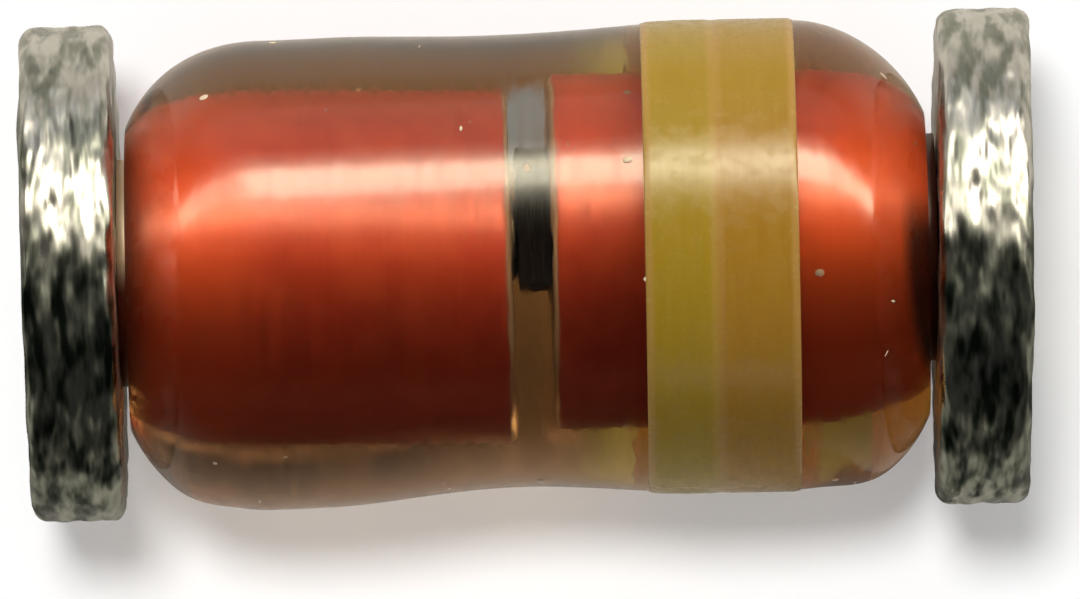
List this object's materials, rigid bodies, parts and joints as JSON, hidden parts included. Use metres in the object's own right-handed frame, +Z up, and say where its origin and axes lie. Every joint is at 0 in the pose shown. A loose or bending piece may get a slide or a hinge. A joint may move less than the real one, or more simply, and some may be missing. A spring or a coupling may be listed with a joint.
{
  "type": "schottky diode",
  "caption": "Glass cylinder surface-mount Schottky diode with tinned end discs, red slugs seen through the glass and a painted ring at the cathode.",
  "frame": {"origin": "middle of the package on the circuit board, straight below the axis", "axes": "+X along the diode's axis towards the cathode, +Z up from the board"},
  "size_m": [0.0034, 0.0016, 0.0017],
  "materials": {
    "glass": "clear, melted smooth",
    "band_paint": "satin paint, a little see-through",
    "tinned_disc": "matte tin plating, mottled",
    "red_slug": "oxidised copper, satin",
    "silicon": "sawn silicon",
    "silver_bump": "plated silver"
  },
  "bodies": {
    "root": {"glass_sleeve": "glass", "cathode_band": "band_paint", "anode_disc": "tinned_disc", "cathode_disc": "tinned_disc", "anode_slug": "red_slug", "cathode_slug": "red_slug", "schottky_die": "silicon", "anode_bump": "silver_bump"}
  },
  "joints": []
}
